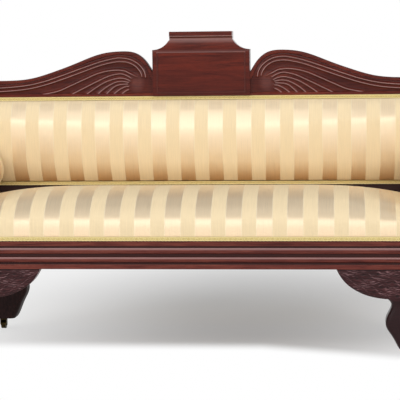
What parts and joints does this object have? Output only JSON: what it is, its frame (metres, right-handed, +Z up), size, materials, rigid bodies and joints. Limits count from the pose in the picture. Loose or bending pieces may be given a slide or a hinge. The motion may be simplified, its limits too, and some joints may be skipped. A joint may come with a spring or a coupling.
{
  "type": "carved settee",
  "caption": "Upholstered settee with a carved swan-neck crest and central tablet, scrolled arms, crowned striped seat, loose bolsters and out-swept legs on casters.",
  "frame": {"origin": "on the floor under the middle of the settee, at the centre of its overall length and depth", "axes": "+X along the length to the sitter-facing viewer's right, +Y from the front rail toward the back, +Z up"},
  "size_m": [1.896, 0.599, 0.948],
  "materials": {
    "mahogany": "French-polished red-brown mahogany",
    "carved_mahogany": "carved mahogany, darkened in the hollows",
    "secondary_wood": "plain sawn frame timber",
    "striped_satin": "cream and gold satin stripe",
    "gimp_braid": "woven gold braid",
    "jute_webbing": "woven jute strap",
    "hessian": "plain-weave sacking",
    "brass": "tarnished cast brass",
    "steel": "dull cut steel"
  },
  "bodies": {
    "settee_frame": {"arm_cover_left": "striped_satin", "arm_cover_right": "striped_satin", "arm_front_left": "mahogany", "arm_front_right": "mahogany", "arm_pad_left": "striped_satin", "arm_pad_right": "striped_satin", "arm_rear_left": "mahogany", "arm_rear_right": "mahogany", "arm_roll_left": "secondary_wood", "arm_roll_right": "secondary_wood", "arm_rosette_left": "mahogany", "arm_rosette_right": "mahogany", "back_bottom_rail": "mahogany", "back_cover": "striped_satin", "back_gimp_bottom": "gimp_braid", "back_gimp_top": "gimp_braid", "back_muntins": "secondary_wood", "back_pad": "striped_satin", "back_stile_left": "mahogany", "back_stile_right": "mahogany", "back_top_rail": "secondary_wood", "back_webbing": "jute_webbing", "caster_sockets": "brass", "corner_blocks": "secondary_wood", "crest_screws": "steel", "crest_scroll_left": "carved_mahogany", "crest_scroll_right": "carved_mahogany", "crest_tablet": "mahogany", "end_rail_left": "secondary_wood", "end_rail_right": "secondary_wood", "front_leg_left": "mahogany", "front_leg_right": "mahogany", "front_seat_rail": "mahogany", "leg_screws": "steel", "rear_leg_left": "mahogany", "rear_leg_right": "mahogany", "rear_seat_rail": "secondary_wood", "seat_cross_rails": "secondary_wood", "seat_gimp": "gimp_braid", "seat_hessian": "hessian", "seat_pad": "striped_satin", "seat_webbing": "jute_webbing", "tablet_bead": "mahogany", "tablet_cap": "mahogany", "wing_bracket_left": "carved_mahogany", "wing_bracket_right": "carved_mahogany"},
    "caster_front_left": {"caster_horn_front_left": "brass", "caster_axle_front_left": "steel"},
    "wheel_front_left": {"caster_wheel_front_left": "brass"},
    "caster_front_right": {"caster_horn_front_right": "brass", "caster_axle_front_right": "steel"},
    "wheel_front_right": {"caster_wheel_front_right": "brass"},
    "caster_rear_left": {"caster_horn_rear_left": "brass", "caster_axle_rear_left": "steel"},
    "wheel_rear_left": {"caster_wheel_rear_left": "brass"},
    "caster_rear_right": {"caster_horn_rear_right": "brass", "caster_axle_rear_right": "steel"},
    "wheel_rear_right": {"caster_wheel_rear_right": "brass"},
    "bolster_left": {"bolster_left": "striped_satin"},
    "bolster_right": {"bolster_right": "striped_satin"}
  },
  "joints": [
    {"name": "swivel_front_left", "type": "hinge", "parent": "settee_frame", "child": "caster_front_left", "pos_m": [-0.658, -0.26251, 0.034], "axis": [0, 0, 1], "continuous": true},
    {"name": "roll_front_left", "type": "hinge", "parent": "caster_front_left", "child": "wheel_front_left", "pos_m": [-0.658, -0.25551, 0.014], "axis": [1, 0, 0], "continuous": true},
    {"name": "swivel_front_right", "type": "hinge", "parent": "settee_frame", "child": "caster_front_right", "pos_m": [0.658, -0.26251, 0.034], "axis": [0, 0, 1], "continuous": true},
    {"name": "roll_front_right", "type": "hinge", "parent": "caster_front_right", "child": "wheel_front_right", "pos_m": [0.658, -0.25551, 0.014], "axis": [1, 0, 0], "continuous": true},
    {"name": "swivel_rear_left", "type": "hinge", "parent": "settee_frame", "child": "caster_rear_left", "pos_m": [-0.658, 0.26349, 0.034], "axis": [0, 0, 1], "continuous": true},
    {"name": "roll_rear_left", "type": "hinge", "parent": "caster_rear_left", "child": "wheel_rear_left", "pos_m": [-0.658, 0.27049, 0.014], "axis": [1, 0, 0], "continuous": true},
    {"name": "swivel_rear_right", "type": "hinge", "parent": "settee_frame", "child": "caster_rear_right", "pos_m": [0.658, 0.26349, 0.034], "axis": [0, 0, 1], "continuous": true},
    {"name": "roll_rear_right", "type": "hinge", "parent": "caster_rear_right", "child": "wheel_rear_right", "pos_m": [0.658, 0.27049, 0.014], "axis": [1, 0, 0], "continuous": true},
    {"name": "lift_bolster_left", "type": "slide", "parent": "settee_frame", "child": "bolster_left", "axis": [0, 0, 1], "range_m": [0, 0.3]},
    {"name": "lift_bolster_right", "type": "slide", "parent": "settee_frame", "child": "bolster_right", "axis": [0, 0, 1], "range_m": [0, 0.3]}
  ]
}
